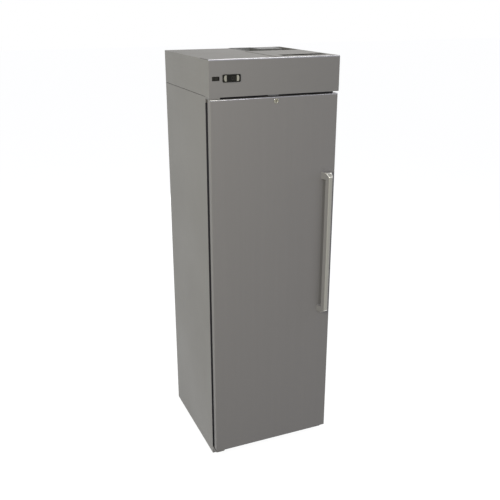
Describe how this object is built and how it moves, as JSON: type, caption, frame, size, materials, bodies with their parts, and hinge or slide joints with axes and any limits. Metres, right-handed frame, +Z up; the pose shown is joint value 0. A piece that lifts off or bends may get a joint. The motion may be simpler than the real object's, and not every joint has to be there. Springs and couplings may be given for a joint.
{
  "type": "upright refrigerated cabinet",
  "caption": "Upright stainless refrigerated cabinet with one left-hinged solid door, a vertical bar handle, a key lock and a cooling unit housed on top.",
  "frame": {"origin": "on the floor, in the middle of the footprint with the handle counted in", "axes": "+X to the right seen from the front, -Y out of the door, +Z up"},
  "size_m": [0.6, 0.6626, 1.906],
  "materials": {
    "stainless": "satin",
    "handle_steel": "satin",
    "liner_steel": "satin",
    "galvanised": "matte",
    "hinge_steel": "satin",
    "clip_steel": "satin",
    "screw_steel": "satin",
    "foam": "matte",
    "foam_box": "matte",
    "dark_plastic": "matte",
    "black_plastic": "satin",
    "display_window": "gloss",
    "pad_plastic": "matte",
    "box_plastic": "matte",
    "shelf_wire": "satin",
    "fin_aluminium": "satin",
    "motor_metal": "matte",
    "black_enamel": "gloss",
    "copper": "satin",
    "hose_rubber": "matte",
    "gasket_rubber": "matte",
    "lock_chrome": "polished"
  },
  "bodies": {
    "cabinet": {"side_panel_left": "stainless", "side_panel_right": "stainless", "base_pan": "galvanised", "top_deck": "galvanised", "back_panel": "galvanised", "cabinet_foam": "foam", "breaker_frame": "dark_plastic", "inner_liner": "liner_steel", "glide_feet": "dark_plastic", "shelf_uprights": "liner_steel", "shelf_clips": "clip_steel", "shelf_1": "shelf_wire", "shelf_2": "shelf_wire", "shelf_3": "shelf_wire", "shelf_4": "shelf_wire", "fan_guard": "dark_plastic", "outlet_louvre": "dark_plastic", "hinge_bracket_top": "hinge_steel", "hinge_bracket_bottom": "hinge_steel", "hinge_screws": "screw_steel", "strike_plate": "galvanised", "fascia": "stainless", "housing_side_left": "stainless", "housing_side_right": "stainless", "housing_back": "galvanised", "top_plate_left": "stainless", "top_cover_right": "stainless", "switch_housing": "black_plastic", "controller_case": "black_plastic", "controller_window": "display_window", "evaporator_box": "foam_box", "evaporator_coil": "fin_aluminium", "evaporator_motor": "motor_metal", "drain_hose": "hose_rubber", "evaporation_tray": "galvanised", "condenser_coil": "fin_aluminium", "fan_shroud": "galvanised", "condenser_motor": "motor_metal", "compressor": "black_enamel", "compressor_mounts": "hose_rubber", "electrical_box": "box_plastic", "power_inlet": "black_plastic", "filter_drier": "copper", "refrigerant_pipes": "copper"},
    "door": {"door_skin": "stainless", "door_foam": "foam", "door_frame": "dark_plastic", "door_inner_panel": "liner_steel", "door_gasket": "gasket_rubber", "hinge_bushes": "dark_plastic", "handle_bar": "handle_steel", "handle_brackets": "handle_steel", "handle_screws": "screw_steel", "lock_housing": "lock_chrome"},
    "lock": {"lock_barrel": "lock_chrome"},
    "rocker": {"switch_rocker": "black_plastic"},
    "left_pad": {"button_left": "pad_plastic"},
    "right_pad": {"button_right": "pad_plastic"},
    "evaporator_fan": {"evaporator_fan_rotor": "dark_plastic"},
    "condenser_fan": {"condenser_fan_rotor": "dark_plastic"}
  },
  "joints": [
    {"name": "door_hinge", "type": "hinge", "parent": "cabinet", "child": "door", "pos_m": [-0.283, -0.26945, 0.9], "axis": [0, 0, -1], "range_deg": [0, 110]},
    {"name": "lock_turn", "type": "hinge", "parent": "door", "child": "lock", "pos_m": [0, -0.28145, 1.7284], "axis": [0, -1, 0], "range_deg": [0, 90]},
    {"name": "rocker_tilt", "type": "hinge", "parent": "cabinet", "child": "rocker", "pos_m": [-0.271, -0.27725, 1.8302], "axis": [0, 0, 1], "range_deg": [0, 16]},
    {"name": "left_pad_press", "type": "slide", "parent": "cabinet", "child": "left_pad", "axis": [0, 1, 0], "range_m": [0, 0.0008], "stiffness_N_per_m": 800, "springref_m": -0.0008},
    {"name": "right_pad_press", "type": "slide", "parent": "cabinet", "child": "right_pad", "axis": [0, 1, 0], "range_m": [0, 0.0008], "stiffness_N_per_m": 800, "springref_m": -0.0008},
    {"name": "evaporator_fan_spin", "type": "hinge", "parent": "cabinet", "child": "evaporator_fan", "pos_m": [-0.113, -0.06725, 1.79], "axis": [0, 0, 1], "continuous": true},
    {"name": "condenser_fan_spin", "type": "hinge", "parent": "cabinet", "child": "condenser_fan", "pos_m": [0.1775, -0.07125, 1.826], "axis": [0, 1, 0], "continuous": true}
  ]
}
